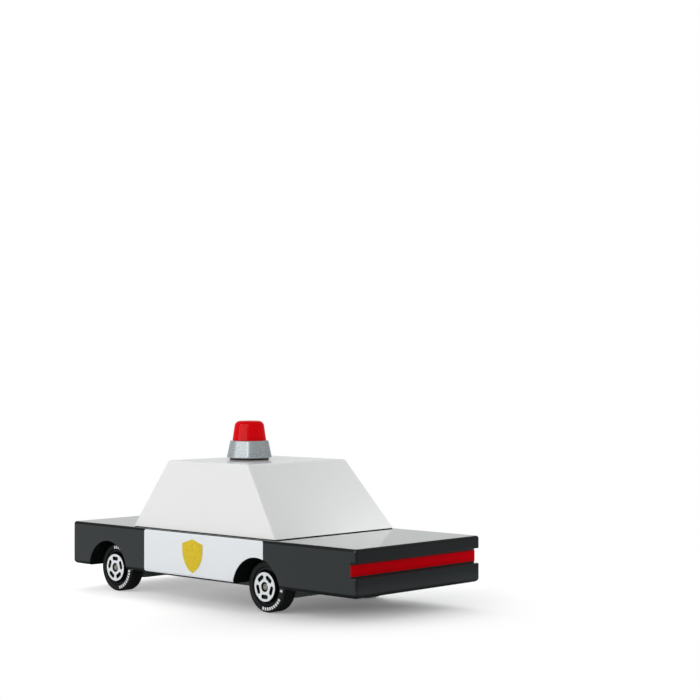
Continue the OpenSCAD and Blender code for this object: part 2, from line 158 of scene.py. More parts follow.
class CarBodySizes(bpy.types.PropertyGroup):
    """Sizes of the two wooden blocks and the base plate."""

    edge_round: length("Edge rounding", "Radius on the lower block's top and upright edges", 0.6)
    bottom_round: length("Bottom rounding", "Radius on the lower block's bottom edges", 0.9)
    rim_round: length("Arch edge", "Radius on the edges of the wheel arches", 0.12)
    lip_round: length("Groove edge", "Radius on the lips of the rear groove", 0.15)
    groove_drop: length("Groove drop", "From the block's top down to the rear groove", 2.65)
    groove_height: length("Groove height", "Height of the rear groove", 3.15)
    groove_depth: length("Groove depth", "Depth of the rear groove", 1.5)
    front_arch: length("Front arch", "Radius of the front wheel arches", 6.7)
    rear_arch: length("Rear arch", "Radius of the rear wheel arches", 7.1)
    front_lead: length("Front arch lead", "From the front axle forwards to its arch's middle", 0.1)
    rear_lead: length("Rear arch lead", "From the rear axle forwards to its arch's middle", 0.45)
    front_drop: length("Front arch drop", "From the front axle down to its arch's middle", 0.5)
    rear_drop: length("Rear arch drop", "From the rear axle down to its arch's middle", 0.85)
    pocket_wall: length("Pocket wall", "From the middle of the car to the arch's inner wall", 12.4)
    cabin_front: length("Cabin foot, front", "Front of the cabin's foot, from the middle", 24.45)
    cabin_rear: length("Cabin foot, rear", "Rear of the cabin's foot, from the middle", -21.65)
    cabin_side: length("Cabin foot, side", "Side of the cabin's foot, from the middle", 18.3)
    roof_front: length("Roof, front", "Front of the roof, from the middle", 16.05)
    roof_rear: length("Roof, rear", "Rear of the roof, from the middle", -9.8)
    roof_side: length("Roof, side", "Side of the roof, from the middle", 15.1)
    cabin_round: length("Cabin edges", "How far the cabin's upper edges are eased", 0.4)
    # The joint's faces are painted black as shade under the cabin's edge
    joint_height: length("Joint height", "Height of the dark joint under the cabin's edge", 0.17)
    joint_depth: length("Joint depth", "How far the joint runs in under the cabin's edge", 0.3)
    carrier_length: length("Carrier length", "Length of each axle carrier of the base plate", 8.8)
    spine_width: length("Spine width", "Width of the base plate between the axles", 11.2)
    plate_round: length("Plate corners", "Radius on the corners of the base plate", 0.8)


class CarBeaconSizes(bpy.types.PropertyGroup):
    """Sizes of the turned beacon."""

    foot_radius: length("Foot radius", "Radius of the silver base at its foot", 5.1)
    neck_radius: length("Neck radius", "Radius of the silver base at its top", 4.3)
    dome_radius: length("Dome radius", "Radius of the red dome at its foot", 3.825)
    crown_radius: length("Crown radius", "Radius of the red dome at its top", 3.2)
    crown_rise: length("Crown rise", "How far the dome's top swells to its middle", 0.15)
    crown_round: length("Crown rounding", "Radius on the dome's top edge", 1.3)
    edge_round: length("Base rounding", "Radius on the base's edges", 0.2)
    spigot_radius: length("Spigot radius", "Radius of the dome's spigot in the base", 2.0)


class CarWheelSizes(bpy.types.PropertyGroup):
    """Sizes of the tyres, wheels and hub caps."""

    seat_radius: length("Seat radius", "Inner radius of the tyre", 4.1)
    shoulder_round: length("Tyre shoulder", "Radius on the outer edges of the tyre", 0.5)
    lip_round: length("Tyre lip", "Radius on the inner edges of the tyre", 0.2)
    rim_radius: length("Rim radius", "Outer radius of the wheel's rim ring", 4.07)
    rim_inner: length("Rim inner radius", "Inner radius of the wheel's rim ring", 3.57)
    rim_face: length("Rim face", "From the middle of the car to the rim ring's face", 16.45)
    well_floor: length("Well floor", "From the middle of the car to the floor of the well", 15.3)
    hub_radius: length("Hub radius", "Radius of the hub inside the well", 3.18)
    cap_radius: length("Cap radius", "Radius of the white hub cap", 3.05)
    cap_skin: length("Cap skin", "Thickness of the cap's white face", 0.1)
    cap_hole: length("Cap hole", "Radius of the hole round the axle", 1.05)
    slot_count: IntProperty(name="Slots", description="Slots in each hub cap", default=5, min=3)
    slot_length: length("Slot length", "Length of each slot", 1.95)
    slot_width: length("Slot width", "Width of each slot", 0.9)
    slot_round: length("Slot corners", "Radius on the corners of each slot", 0.4)
    slot_radius: length("Slot place", "From the wheel's centre to each slot", 2.05)
    front_turn: angle("Front turn", "Where a slot of the front wheels stands", 90)
    rear_turn: angle("Rear turn", "Where a slot of the rear wheels stands", 270)
    dash_length: length("Dash length", "Length of each white dash on the tyres", 0.46)
    dash_height: length("Dash height", "Height of each white dash on the tyres", 0.64)
    dash_radius: length("Dash place", "From the wheel's centre to the dashes", 4.6)
    front_dashes: angle("Front dashes", "Where the front tyres' dashes start", 186)
    rear_dashes: angle("Rear dashes", "Where the rear tyres' dashes start", 212)


class CarColours(bpy.types.PropertyGroup):
    """Colours of the finishes."""

    black_lacquer: colour("Black lacquer", "Lower block", "#060B0D")
    white_lacquer: colour("White lacquer", "Cabin", "#ECEDEC")
    white_film: colour("White film", "Door panels", "#E6EAED")
    gold_film: colour("Gold film", "Shields", "#E8C822")
    red_strip: colour("Red strip", "Tail light strip", "#C8000E")
    red_paint: colour("Red paint", "Beacon dome", "#DA000B")
    silver_paint: colour("Silver paint", "Beacon base", "#BDC4C8")
    steel: colour("Steel", "Axles, screws and roof disc", "#C2C0B4")
    ferrite: colour("Ferrite", "Beacon magnet", "#35251F")
    rubber: colour("Rubber", "Tyres", "#222224")
    black_plastic: colour("Black plastic", "Wheels", "#0F1011")
    white_plastic: colour("White plastic", "Hub caps", "#EAEEF1")
    grey_plastic: colour("Grey plastic", "Base plate", "#66706A")
    white_ink: colour("White ink", "Dashes on the tyres", "#E4E6E6")
    beech: colour("Beech", "Cabin dowels", "#C39A66")


class CarSettings(bpy.types.PropertyGroup):
    """Everything that a user would change on the car."""

    body: PointerProperty(type=CarBodySizes)
    beacon: PointerProperty(type=CarBeaconSizes)
    wheels: PointerProperty(type=CarWheelSizes)
    colours: PointerProperty(type=CarColours)


# Nodes


def add(tree, kind, inputs=None, **settings):
    """Adds a node, makes its settings, and gives each input a value, a link or a list of links."""
    made = tree.nodes.new(kind)
    for name, value in settings.items():
        setattr(made, name, value)
    for name, value in (inputs or {}).items():
        socket = made.inputs[name]
        for source in value if isinstance(value, list) else [value]:
            if isinstance(source, bpy.types.NodeSocket):
                tree.links.new(source, socket)
            else:
                socket.default_value = source
    return made


def shaded(tree, kind, inputs=None, **settings):
    """Adds a node of the kinds that begin with ShaderNode and gives its first output."""
    return add(tree, "ShaderNode" + kind, inputs, **settings).outputs[0]


def grown(tree, kind, inputs=None, **settings):
    """Adds a node of the kinds that begin with GeometryNode and gives its first output."""
    return add(tree, "GeometryNode" + kind, inputs, **settings).outputs[0]


def maths(tree, operation, *values):
    """The result of an operation on numbers."""
    return shaded(tree, "Math", dict(enumerate(values)), operation=operation)


def vectors(tree, operation, *values):
    """The result of an operation on vectors, which for some is a number."""
    made = add(tree, "ShaderNodeVectorMath", dict(enumerate(values)), operation=operation)
    number = operation in ("DISTANCE", "DOT_PRODUCT", "LENGTH")
    return made.outputs["Value" if number else "Vector"]


def xyz(tree, **parts):
    """A vector made from its X, Y and Z."""
    return shaded(tree, "CombineXYZ", parts)


def ramp(tree, value, span, levels=(0, 1), kind="LINEAR"):
    """A number that runs over levels while value runs over span."""
    ends = dict(enumerate((*span, *levels), 1))
    return shaded(tree, "MapRange", {"Value": value, **ends}, interpolation_type=kind)


def blend(tree, factor, one, other):
    """A number between two others."""
    return shaded(tree, "Mix", {0: factor, 2: one, 3: other})


def blend_colours(tree, factor, one, other):
    """A colour between two others."""
    ends = {0: factor, 6: one, 7: other}
    return add(tree, "ShaderNodeMix", ends, data_type="RGBA").outputs[2]


# Finishes


def new_finish(name, sockets):
    """A named material with its shader's constant sockets set, its tree and Object coordinates."""
    finish = bpy.data.materials.new(name)
    finish.use_nodes = True
    tree = finish.node_tree
    for socket, value in sockets.items():
        inputs = tree.nodes["Principled BSDF"].inputs
        inputs[socket.replace("_", " ")].default_value = value
    return finish, tree, add(tree, "ShaderNodeTexCoord").outputs["Object"]


def cover(tree, base, spread, patches, sheen, height, relief_mm):
    """Drives a finish's colour by patches, its roughness by sheen and its bumps by height."""
    paler, darker = (
        tuple(min(1.0, c * factor) for c in base) + (1.0,) for factor in (1 + spread, 1 - spread)
    )
    bumps = {"Height": height, "Distance": relief_mm * MM, "Strength": 1.0}
    inputs = tree.nodes["Principled BSDF"].inputs
    tree.links.new(blend_colours(tree, patches, darker, paler), inputs["Base Color"])
    tree.links.new(sheen, inputs["Roughness"])
    tree.links.new(shaded(tree, "Bump", bumps), inputs["Normal"])


def coated(name, base, spread, mottle_mm, gloss, peel_mm, relief_mm, stretch=(1, 1, 1), **sockets):
    """A paint, film, plastic or rubber.

    The colour drifts by spread over patches of mottle_mm, the roughness runs over
    gloss, and the surface waves by relief_mm in bumps of peel_mm, drawn out by stretch.
    """
    finish, tree, place = new_finish(name, sockets)
    drawn = shaded(tree, "Mapping", {"Vector": place, "Scale": stretch})
    patches, waves = (
        shaded(tree, "TexNoise", {"Vector": drawn, "Scale": 1 / (mm * MM), "Detail": detail})
        for mm, detail in ((mottle_mm, 5.0), (peel_mm, 3.0))
    )
    # Most of a noise's values lie in this span
    sheen = ramp(tree, waves, (0.3, 0.7), gloss)
    cover(tree, base, spread, patches, sheen, waves, relief_mm)
    return finish


def flaked(name, base, spread, flake_mm, gloss, relief_mm, **sockets):
    """A paint or film with metal flakes of flake_mm, each with its own tint, gloss and tilt."""
    finish, tree, place = new_finish(name, sockets)
    flakes = add(tree, "ShaderNodeTexVoronoi", {"Vector": place, "Scale": 1 / (flake_mm * MM)})
    single = add(tree, "ShaderNodeSeparateColor", {"Color": flakes.outputs["Color"]}).outputs
    sheen = ramp(tree, single[1], (0, 1), gloss)
    cover(tree, base, spread, single[0], sheen, single[2], relief_mm)
    return finish


# The figures of each finish, by its key, which is also its colour unless a base says otherwise
FINISHES = {
    # Black lacquer sprayed on sanded wood: a deep gloss with a faint orange peel
    "black_lacquer": dict(
        name="black_lacquer_sprayed_on_wood", spread=0.25, mottle_mm=9, gloss=(0.07, 0.13),
        peel_mm=1.6, relief_mm=0.004, stretch=(0.35, 1, 1),
        IOR=1.43, Coat_Weight=1.0, Coat_Roughness=0.06, Coat_IOR=1.5,
    ),
    # Black lacquer blown thinly into arches: the same colour, dull and dusty. On the white cabin's
    # joint faces the same black is painted shade under the cabin's edge
    "arch_black": dict(
        name="black_lacquer_dull_in_arches", base="black_lacquer", spread=0.3, mottle_mm=2,
        gloss=(0.6, 0.75), peel_mm=0.3, relief_mm=0.01, IOR=1.4,
    ),
    # White lacquer sprayed on sanded wood: an even gloss, the grain just felt under it
    "white_lacquer": dict(
        name="white_lacquer_sprayed_on_wood", spread=0.012, mottle_mm=7, gloss=(0.05, 0.08),
        peel_mm=1.6, relief_mm=0.001, stretch=(0.3, 1, 1), IOR=1.5,
    ),
    # Satin white vinyl film, printed and laid flat: even, a little cool, with a fine tooth
    "white_film": dict(
        name="white_vinyl_film_printed", spread=0.012, mottle_mm=4, gloss=(0.28, 0.38),
        peel_mm=0.6, relief_mm=0.003, IOR=1.5,
    ),
    # Gold metallic vinyl: real flakes are about 0.05 mm, drawn at 0.14 mm so that they sparkle
    "gold_film": dict(
        name="gold_metallic_vinyl_printed", spread=0.14, flake_mm=0.14, gloss=(0.34, 0.5),
        relief_mm=0.006, Metallic=0.25, IOR=1.5,
    ),
    # Silver paint on turned wood: real flakes are about 0.03 mm, drawn at 0.12 mm to show
    "silver_paint": dict(
        name="silver_paint_on_turned_wood", spread=0.1, flake_mm=0.12, gloss=(0.22, 0.3),
        relief_mm=0.002, Metallic=0.4, IOR=1.5,
    ),
    # Red lacquer brushed along the groove: satin, with strokes along its length
    "red_strip": dict(
        name="red_lacquer_brushed_in_groove", spread=0.16, mottle_mm=0.8, gloss=(0.3, 0.42),
        peel_mm=0.7, relief_mm=0.004, stretch=(1, 0.2, 1), IOR=1.5, Specular_IOR_Level=0.01,
    ),
    # Red gloss enamel dipped on turned wood: wet-looking, with a slow drift of depth
    "red_paint": dict(
        name="red_enamel_dipped_on_turned_wood", spread=0.05, mottle_mm=3, gloss=(0.1, 0.14),
        peel_mm=1.8, relief_mm=0.001, IOR=1.5, Specular_IOR_Level=0.16,
    ),
    # Black moulded rubber: satin, with a fine grain from the mould
    "rubber": dict(
        name="black_rubber_moulded", spread=0.14, mottle_mm=1.2, gloss=(0.46, 0.6),
        peel_mm=0.25, relief_mm=0.006, IOR=1.52, Specular_IOR_Level=0.25,
    ),
    # Black moulded ABS: satin gloss off a polished mould
    "black_plastic": dict(
        name="black_abs_moulded", spread=0.12, mottle_mm=1.5, gloss=(0.26, 0.38),
        peel_mm=0.4, relief_mm=0.003, IOR=1.53,
    ),
    # White moulded ABS: clean and a little cool, with soft gloss
    "white_plastic": dict(
        name="white_abs_moulded", spread=0.015, mottle_mm=1.5, gloss=(0.26, 0.36),
        peel_mm=0.4, relief_mm=0.003, IOR=1.53,
    ),
    # Grey-green moulded polypropylene: matt, from a spark-eroded mould
    "grey_plastic": dict(
        name="grey_polypropylene_moulded", spread=0.1, mottle_mm=2, gloss=(0.42, 0.56),
        peel_mm=0.3, relief_mm=0.01, IOR=1.49,
    ),
    # White pad-printed ink on rubber: thin, flat, a little uneven
    "white_ink": dict(
        name="white_ink_pad_printed", spread=0.06, mottle_mm=0.3, gloss=(0.45, 0.6),
        peel_mm=0.2, relief_mm=0.002, IOR=1.5,
    ),
    # Bright drawn steel: fine lines along the bar, a little yellow from oil
    "steel": dict(
        name="steel_bright_drawn", spread=0.12, mottle_mm=0.5, gloss=(0.26, 0.4),
        peel_mm=0.2, relief_mm=0.002, stretch=(1, 0.08, 1), Metallic=1.0,
    ),
    # Sintered ferrite: a brownish black ceramic, matt, with a ragged, faintly pitted edge
    "ferrite": dict(
        name="ferrite_sintered_magnet", spread=0.4, mottle_mm=0.5, gloss=(0.5, 0.7),
        peel_mm=0.25, relief_mm=0.03, IOR=1.5,
    ),
    # Turned beech: pale brown, with short darker flecks along the dowel
    "beech": dict(
        name="beech_turned", spread=0.22, mottle_mm=0.7, gloss=(0.55, 0.7),
        peel_mm=0.35, relief_mm=0.02, stretch=(1, 1, 0.15), IOR=1.5,
    ),
}


def finishes(*keys):
    """A new finish for each key."""
    made = []
    for key in keys:
        figures = dict(FINISHES[key])
        base = getattr(bpy.context.scene.toy_car.colours, figures.pop("base", key))
        make = flaked if "flake_mm" in figures else coated
        made.append(make(base=base, **figures))
    return made


# Shapes


def soften(corners, steps=5):
    """A closed outline with its corners rounded; each corner is two places and a radius."""
    outline = []
    for k, (u, v, radius) in enumerate(corners):
        here = Vector((u, v))
        if not radius:
            outline.append(here)
            continue
        back = (Vector(corners[k - 1][:2]) - here).normalized()
        onward = (Vector(corners[(k + 1) % len(corners)][:2]) - here).normalized()
        half = math.acos(max(-1.0, min(1.0, back.dot(onward)))) / 2
        centre = here + (back + onward).normalized() * radius / math.sin(half)
        arm = here + back * radius / math.tan(half) - centre
        tip = here + onward * radius / math.tan(half) - centre
        sweep = math.atan2(arm.x * tip.y - arm.y * tip.x, arm.dot(tip))
        for s in range(steps + 1):
            cos, sin = math.cos(sweep * s / steps), math.sin(sweep * s / steps)
            swung = (arm.x * cos - arm.y * sin, arm.x * sin + arm.y * cos)
            outline.append(centre + Vector(swung))
    return outline


def new_object(name, data):
    """An object with that data in the scene."""
    made = bpy.data.objects.new(name, data)
    bpy.context.scene.collection.objects.link(made)
    return made


def fill(mesh, bm):
    """Settles bm, with doubles merged, slivers dropped and faces turned out, and writes it."""
    bmesh.ops.remove_doubles(bm, verts=bm.verts, dist=DOUBLE)
    bmesh.ops.dissolve_degenerate(bm, dist=SLIVER, edges=bm.edges)
    bmesh.ops.recalc_face_normals(bm, faces=bm.faces)
    bm.to_mesh(mesh)
    bm.free()


def solid(name, bm):
    """Makes the settled mesh an object."""
    mesh = bpy.data.meshes.new(name)
    fill(mesh, bm)
    return new_object(name, mesh)


def loft(rings):
    """The closed skin through rings of the same number of points."""
    bm = bmesh.new()
    loops = [[bm.verts.new(point) for point in ring] for ring in rings]
    for one, other in zip(loops, loops[1:]):
        for i in range(len(one)):
            bm.faces.new((one[i - 1], one[i], other[i], other[i - 1]))
    bm.faces.new(loops[0])
    bm.faces.new(loops[-1])
    return bm


def lathe(name, profile, *places, steps=TURN_STEPS):
    """An object of what a profile of radius and height sweeps round the Z axis of each place.

    A profile that starts on the axis ends on it, and any other closes on itself.
    """
    bm = bmesh.new()
    for place in places:
        rings = []
        for radius, height in profile:
            count = steps if radius > ON_AXIS else 1
            bearings = [math.tau * i / count for i in range(count)]
            ring = [(radius * math.cos(a), radius * math.sin(a), height) for a in bearings]
            rings.append([bm.verts.new(place @ Vector(point)) for point in ring])
        last = [] if profile[0][0] <= ON_AXIS else [(rings[-1], rings[0])]
        for one, other in list(zip(rings, rings[1:])) + last:
            for i in range(steps):
                around = ((one, i), (one, i + 1), (other, i + 1), (other, i))
                corners = list(dict.fromkeys(ring[k % len(ring)] for ring, k in around))
                if len(corners) > 2:
                    bm.faces.new(corners)
    return solid(name, bm)


def post(name, radius, bottom, top, place, steps=TURN_STEPS):
    """A plain round post."""
    profile = [(0, bottom), (radius, bottom), (radius, top), (0, top)]
    return lathe(name, profile, place, steps=steps)


def ease(bm, edges, offset, segments):
    """Rounds these edges of a mesh."""
    even = {"profile": 0.5, "affect": "EDGES", "offset_type": "OFFSET"}
    bmesh.ops.bevel(bm, geom=edges, offset=offset, segments=segments, **even)


def bar(name, low, high, radius):
    """A straight bar between two corners, with rounded edges."""
    bm = bmesh.new()
    for vert in bmesh.ops.create_cube(bm, size=1.0)["verts"]:
        for axis in range(3):
            vert.co[axis] = high[axis] if vert.co[axis] > 0 else low[axis]
    ease(bm, bm.edges[:], radius, segments=3)
    return solid(name, bm)


def evaluated_mesh(piece):
    """The piece's mesh with its modifiers in it."""
    graph = bpy.context.evaluated_depsgraph_get()
    return bpy.data.meshes.new_from_object(piece.evaluated_get(graph), depsgraph=graph)


def carve(piece, cutter):
    """Cuts the cutter out of the piece and deletes the cutter."""
    cut = piece.modifiers.new("Cut", "BOOLEAN")
    cut.operation = "DIFFERENCE"
    cut.solver = "EXACT"
    cut.object = cutter
    mesh = evaluated_mesh(piece)
    piece.modifiers.remove(cut)
    piece.data = mesh
    bpy.data.objects.remove(cutter)


def hand_over(piece, body, nodes, slot, *finishes):
    """Shades the piece, gives it its finishes, and puts it on its body for its CAD nodes."""
    mesh = piece.data
    mesh.shade_smooth()
    mesh.set_sharp_from_angle(angle=SHARP)
    if mesh.materials:
        mesh.materials.clear()
    for finish in finishes:
        mesh.materials.append(finish)
    flats = piece.modifiers.new("Flat faces stay flat", "WEIGHTED_NORMAL")
    flats.keep_sharp = True
    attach(piece, body)
    if nodes:
        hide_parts(*nodes)


# Geometry Nodes


def new_plan(name, **labels):
    """A node tree with a mesh as its output and inputs named by kind; gives it and its inputs."""
    tree = bpy.data.node_groups.new(name, "GeometryNodeTree")
    tree.interface.new_socket("Mesh", in_out="OUTPUT", socket_type="NodeSocketGeometry")
    for kind, names in {**labels, "Material": ["Finish"]}.items():
        for label in names:
            tree.interface.new_socket(label, in_out="INPUT", socket_type="NodeSocket" + kind)
    return tree, add(tree, "NodeGroupInput").outputs


def deliver(tree, given, parts):
    """Ends a tree: its parts as one real mesh with its finish."""
    whole = grown(tree, "JoinGeometry", {0: parts})
    real = grown(tree, "RealizeInstances", {0: whole})
    painted = {"Geometry": real, "Material": given["Finish"]}
    add(tree, "NodeGroupOutput", {0: grown(tree, "SetMaterial", painted)})
    return tree


def grow(name, tree, values):
    """A plain mesh object made by the tree with these values."""
    piece = new_object(name, bpy.data.meshes.new(name + "_seed"))
    nodes = piece.modifiers.new("Plan", "NODES")
    nodes.node_group = tree
    for item in tree.interface.items_tree:
        if item.in_out == "INPUT":
            nodes[item.identifier] = values[item.name]
    mesh = evaluated_mesh(piece)
    piece.modifiers.remove(nodes)
    mesh.name = name
    bm = bmesh.new()
    bm.from_mesh(mesh)
    fill(mesh, bm)
    piece.data = mesh
    return piece


def circle(tree, radius, steps):
    """A round outline."""
    return grown(tree, "CurvePrimitiveCircle", {"Resolution": steps, "Radius": radius})


def rectangle(tree, width, height, corner, steps):
    """A rectangular outline with rounded corners."""
    sides = {"Width": width, "Height": height}
    plain = grown(tree, "CurvePrimitiveQuadrilateral", sides)
    rounding = {"Curve": plain, "Count": steps, "Radius": corner}
    return grown(tree, "FilletCurve", rounding, mode="POLY")


def set_round(tree, points, part, bearing):
    """Real copies of a part on the points, each turned about Z by its bearing."""
    copies = {"Points": points, "Instance": part, "Rotation": xyz(tree, Z=bearing)}
    ring = grown(tree, "InstanceOnPoints", copies)
    return grown(tree, "RealizeInstances", {0: ring})


def tile(tree, outlines, thickness):
    """A flat tile of the filled outlines, thickened along Z and closed underneath."""
    joined = grown(tree, "JoinGeometry", {0: outlines})
    face = grown(tree, "FillCurve", {"Curve": joined}, mode="TRIANGLES")
    rise = {"Mesh": face, "Offset Scale": thickness, "Individual": False}
    raised = grown(tree, "ExtrudeMesh", rise, mode="FACES")
    under = grown(tree, "FlipFaces", {"Mesh": face})
    shell = grown(tree, "JoinGeometry", {0: [raised, under]})
    return grown(tree, "MergeByDistance", {"Geometry": shell, "Distance": SEAM})


def both_sides(tree, part, axle, reach):
    """Stands a part made round Z on an axle's left end and mirrors it to the right end."""
    spot = vectors(tree, "ADD", axle, xyz(tree, Y=reach))
    stood = {"Geometry": part, "Translation": spot, "Rotation": Euler((-math.pi / 2, 0, 0))}
    left = grown(tree, "Transform", stood)
    mirrored = grown(tree, "Transform", {"Geometry": left, "Scale": (1, -1, 1)})
    return [left, grown(tree, "FlipFaces", {"Mesh": mirrored})]


def tyre_plan():
    """A rounded section swept round the axle, for the two tyres of an axle."""
    tree, given = new_plan(
        "Swept tyres",
        Float=("Tyre radius", "Seat radius", "Width", "Middle", "Tyre shoulder", "Tyre lip"),
        Vector=("Axle",),
    )
    depth = maths(tree, "SUBTRACT", given["Tyre radius"], given["Seat radius"])
    reach = maths(tree, "ADD", given["Tyre radius"], given["Seat radius"])
    spot = grown(tree, "InputPosition")
    tread = maths(tree, "GREATER_THAN", shaded(tree, "SeparateXYZ", {0: spot}), 0.0)
    rounding = blend(tree, tread, given["Tyre lip"], given["Tyre shoulder"])
    section = rectangle(tree, depth, given["Width"], rounding, steps=7)
    path = circle(tree, maths(tree, "MULTIPLY", reach, 0.5), TURN_STEPS)
    upright = grown(tree, "SetCurveNormal", {"Curve": path}, mode="Z_UP")
    swept = grown(tree, "CurveToMesh", {"Curve": upright, "Profile Curve": section})
    return deliver(tree, given, both_sides(tree, swept, given["Axle"], given["Middle"]))


def dash_plan():
    """Plain dashes in arcs round the sidewall, for the two tyres of an axle."""
    shape = ("Dash length", "Dash height", "Dash place", "Thickness", "Face")
    tree, given = new_plan(
        "Tyre dashes",
        Float=(*shape, "Start", "Step", "Arc step"),
        Int=("Dashes", "Arcs"),
        Vector=("Axle",),
    )
    outline = rectangle(tree, given["Dash height"], given["Dash length"], DASH_CORNER, steps=3)
    dash = tile(tree, [outline], given["Thickness"])
    total = maths(tree, "MULTIPLY", given["Dashes"], given["Arcs"])
    points = grown(tree, "Points", {"Count": total})
    index = grown(tree, "InputIndex")
    arc = maths(tree, "FLOOR", maths(tree, "DIVIDE", index, given["Dashes"]))
    within = maths(tree, "MODULO", index, given["Dashes"])
    first = maths(tree, "MULTIPLY_ADD", arc, given["Arc step"], given["Start"])
    bearing = maths(tree, "MULTIPLY_ADD", within, given["Step"], first)
    # The part is made round Z and stood on its side, which turns angles over
    facing = maths(tree, "MULTIPLY", bearing, -1.0)
    unit = xyz(tree, X=maths(tree, "COSINE", facing), Y=maths(tree, "SINE", facing))
    stretched = {0: unit, "Scale": given["Dash place"]}
    spot = shaded(tree, "VectorMath", stretched, operation="SCALE")
    placed = grown(tree, "SetPosition", {"Geometry": points, "Position": spot})
    ring = set_round(tree, placed, dash, facing)
    return deliver(tree, given, both_sides(tree, ring, given["Axle"], given["Face"]))


def cap_plan():
    """A flat cap with a centre hole and slots round it, for the two wheels of an axle."""
    slots = ("Slot length", "Slot width", "Slot corners", "Slot place")
    tree, given = new_plan(
        "Slotted hub caps",
        Float=("Cap radius", "Cap hole", *slots, "Turn", "Thickness", "Seat"),
        Int=("Slots",),
        Vector=("Axle",),
    )
    rim = circle(tree, given["Cap radius"], TURN_STEPS)
    hole = circle(tree, given["Cap hole"], BORE_STEPS)
    sides = given["Slot width"], given["Slot length"]
    slot = rectangle(tree, *sides, given["Slot corners"], steps=6)
    around = {"Vertices": given["Slots"], "Radius": given["Slot place"]}
    spots = grown(tree, "MeshCircle", around)
    pitch = maths(tree, "DIVIDE", math.tau, given["Slots"])
    bearing = maths(tree, "MULTIPLY", grown(tree, "InputIndex"), pitch)
    ring = set_round(tree, spots, slot, bearing)
    plate = tile(tree, [rim, hole, ring], given["Thickness"])
    # The part is made round Z and stood on its side, which turns angles over
    heading = xyz(tree, Z=maths(tree, "MULTIPLY", given["Turn"], -1.0))
    aimed = grown(tree, "Transform", {"Geometry": plate, "Rotation": heading})
    return deliver(tree, given, both_sides(tree, aimed, given["Axle"], given["Seat"]))


def screw_plan():
    """Cross-head screws in a row, heads down."""
    head = ("Head radius", "Head height")
    tree, given = new_plan(
        "Base screws",
        Float=(*head, "Shank radius", "Shank length", "Slot width", "Slot depth"),
        Vector=("First", "Last"),
    )
    radius, width = given["Head radius"], given["Slot width"]
    crown = maths(tree, "MULTIPLY", radius, 0.86)
    cone = {"Radius Top": radius, "Radius Bottom": crown, "Depth": given["Head height"]}
    head = grown(tree, "MeshCone", {"Vertices": BORE_STEPS, **cone})
    total = maths(tree, "ADD", given["Head height"], given["Shank length"])
    rod = {"Vertices": SHANK_STEPS, "Radius": given["Shank radius"], "Depth": total}
    shank = grown(tree, "MeshCylinder", rod)
    middle = xyz(tree, Z=maths(tree, "MULTIPLY", total, 0.5))
    lifted = grown(tree, "Transform", {"Geometry": shank, "Translation": middle})
    union, difference = (
        {"operation": operation, "solver": "EXACT"} for operation in ("UNION", "DIFFERENCE")
    )
    blank = grown(tree, "MeshBoolean", {"Mesh 2": [head, lifted]}, **union)
    # The slots run out past the head's edge, and half of each cutter stands below the head
    reach = maths(tree, "MULTIPLY", radius, 1.3)
    deep = maths(tree, "MULTIPLY", given["Slot depth"], 2.0)
    cutters = [
        grown(tree, "MeshCube", {"Size": xyz(tree, X=x, Y=y, Z=deep)})
        for x, y in ((reach, width), (width, reach))
    ]
    cut = {"Mesh 1": blank, "Mesh 2": cutters}
    slotted = grown(tree, "MeshBoolean", cut, **difference)
    ends = {"Count": 2, "Start Location": given["First"], "Offset": given["Last"]}
    row = grown(tree, "MeshLine", ends, mode="END_POINTS")
    screws = grown(tree, "InstanceOnPoints", {"Points": row, "Instance": slotted})
    return deliver(tree, given, [screws])


# Pieces


def axle_middle(end):
    """The middle of an axle, on the car's centreline."""
    low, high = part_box(f"{end}_axle")
    return (low + high) / 2


def arches(sizes):
    """The place along the car, the height and the radius of the rear and the front arch."""
    rear, front = axle_middle("rear"), axle_middle("front")
    return (
        (rear.x + sizes.rear_lead, rear.z - sizes.rear_drop, sizes.rear_arch),
        (front.x + sizes.front_lead, front.z - sizes.front_drop, sizes.front_arch),
    )


def drawn_in(radius, depth):
    """How far a rounding of that radius draws an edge in, at this depth below the flank."""
    return radius - math.sqrt(radius**2 - (radius - depth) ** 2) if depth < radius else 0.0


def side_outline(sizes, depth, arches_open=True):
    """The car's side view as a closed outline of the lower block, at a depth below its flank.

    The roundings draw the outer edges in and open the arches and the groove.
    Arches that aren't open run straight along the bottom.
    """
    low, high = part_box("lower_body")
    inset, lift = drawn_in(sizes.edge_round, depth), drawn_in(sizes.bottom_round, depth)
    flare = drawn_in(sizes.rim_round, depth)
    front, rear = high.x - inset, low.x + inset
    bottom, top = low.z + lift, high.z - inset
    edge = max(sizes.edge_round - inset, NO_ROUND)
    foot = max(sizes.bottom_round - lift, NO_ROUND)
    groove_top = high.z - sizes.groove_drop + flare
    groove_bottom = groove_top - sizes.groove_height - 2 * flare
    groove_floor = low.x + sizes.groove_depth + flare
    corners = [
        (front, bottom, foot),
        (front, top, edge),
        (rear, top, edge),
        (rear, groove_top, sizes.lip_round),
        (groove_floor, groove_top, 0),
        (groove_floor, groove_bottom, 0),
        (rear, groove_bottom, sizes.lip_round),
        (rear, bottom, foot),
    ]
    for centre_x, centre_z, radius in arches(sizes):
        radius += flare
        rise = math.asin((bottom - centre_z) / radius)
        for k in range(ARCH_STEPS + 1):
            a = math.pi - rise - k * (math.pi - 2 * rise) / ARCH_STEPS
            z = centre_z + radius * math.sin(a) if arches_open else bottom
            at_foot = k in (0, ARCH_STEPS)
            corners.append((centre_x + radius * math.cos(a), z, sizes.rim_round if at_foot else 0))
    return soften(corners)


